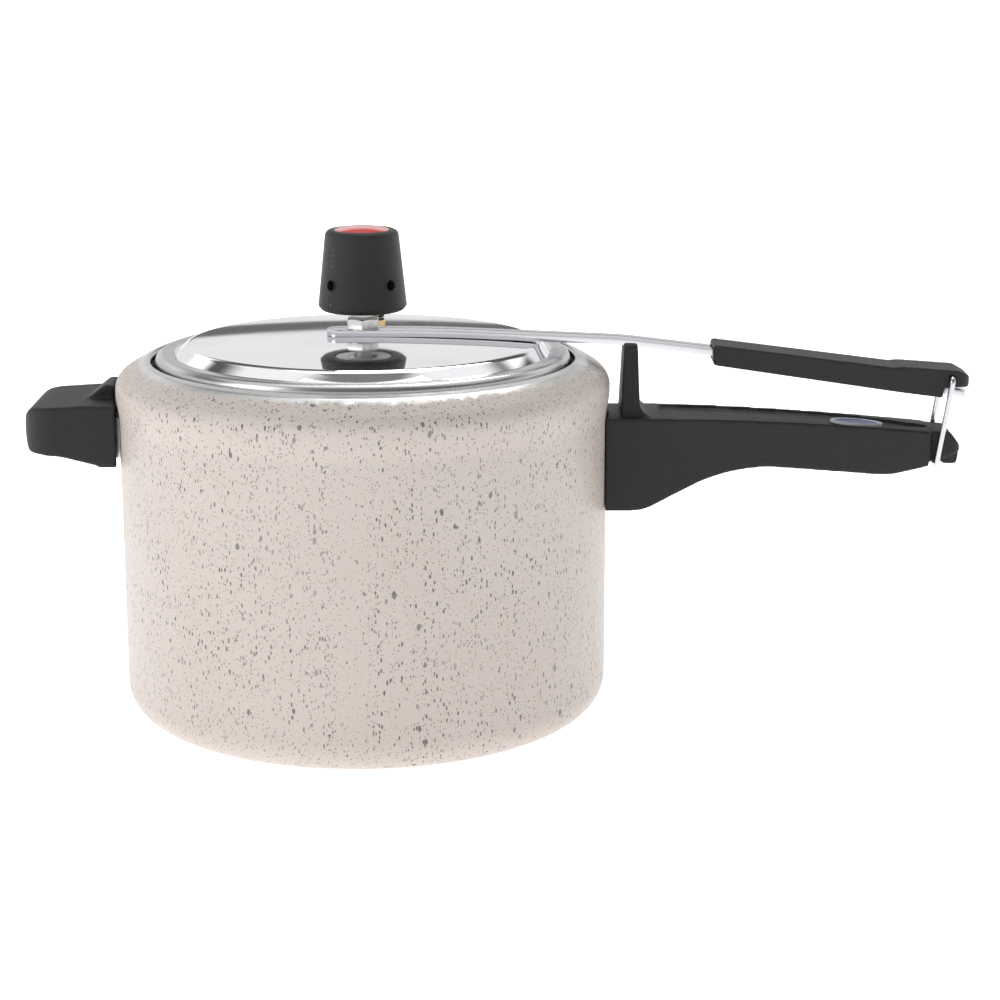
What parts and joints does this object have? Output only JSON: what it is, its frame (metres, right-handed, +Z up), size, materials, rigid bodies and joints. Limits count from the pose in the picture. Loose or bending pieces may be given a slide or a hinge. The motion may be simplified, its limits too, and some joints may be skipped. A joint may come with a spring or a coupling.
{
  "type": "stovetop pressure cooker",
  "caption": "Stovetop pressure cooker with an oval inner lid held up by a lever and wire loop, a lift-off regulator weight, a long handle and a short helper handle.",
  "frame": {"origin": "middle of the pot's flat base", "axes": "+Z up, +X along the long handle away from the pot, +Y away from the side that shows the handle's left"},
  "size_m": [0.3914, 0.2054, 0.2039],
  "materials": {
    "painted_aluminium": "speckled satin stone paint, bare brushed aluminium at the rim",
    "polished_aluminium": "mirror polished",
    "chrome_bar": "bright",
    "zinc_steel": "zinc plated",
    "stainless": "satin",
    "black_phenolic": "fine moulded grain",
    "red_cap": "gloss",
    "badge_enamel": "gloss with a pale edge",
    "brass": "turned",
    "black_rubber": "matt",
    "fusible_alloy": "dull cast"
  },
  "bodies": {
    "pot": {"pot_body": "painted_aluminium", "handle_bracket": "zinc_steel", "handle_bracket_rivets": "polished_aluminium", "body_handle": "black_phenolic", "body_handle_screw": "zinc_steel", "body_handle_washer": "zinc_steel", "handle_badge": "badge_enamel", "helper_bracket": "zinc_steel", "helper_bracket_rivets": "polished_aluminium", "helper_handle": "black_phenolic", "helper_handle_screw": "zinc_steel", "helper_handle_washer": "zinc_steel"},
    "lid": {"lid_plate": "polished_aluminium", "lid_gasket": "black_rubber", "lid_bar": "chrome_bar", "lid_grip": "black_phenolic", "grip_screws": "zinc_steel", "vent_tube": "zinc_steel", "vent_seal_washer": "black_rubber", "bar_washer": "zinc_steel", "vent_nut": "chrome_bar", "safety_valve_body": "brass", "safety_valve_plug": "fusible_alloy", "safety_valve_seal": "black_rubber", "safety_valve_nut": "brass"},
    "loop": {"locking_loop": "chrome_bar"},
    "needle": {"regulator_needle": "stainless"},
    "regulator": {"regulator_core": "stainless", "regulator_clip": "chrome_bar", "regulator_shell": "black_phenolic", "regulator_cap": "red_cap"}
  },
  "joints": [
    {"name": "lid_lever", "type": "hinge", "parent": "pot", "child": "lid", "pos_m": [0.111, 0, 0.1546], "axis": [0, -1, 0], "range_deg": [0, 6.2]},
    {"name": "loop_swing", "type": "hinge", "parent": "lid", "child": "loop", "pos_m": [0.244, 0, 0.1416], "axis": [0, -1, 0], "range_deg": [0, 250]},
    {"name": "regulator_lift", "type": "slide", "parent": "lid", "child": "needle", "axis": [0, 0, 1], "range_m": [0, 0.035]},
    {"name": "regulator_spin", "type": "hinge", "parent": "needle", "child": "regulator", "pos_m": [0, 0, 0.19], "axis": [0, 0, 1], "continuous": true}
  ],
  "couplings": [
    {"joint": "loop_swing", "follows": "lid_lever", "ratio": 40}
  ]
}
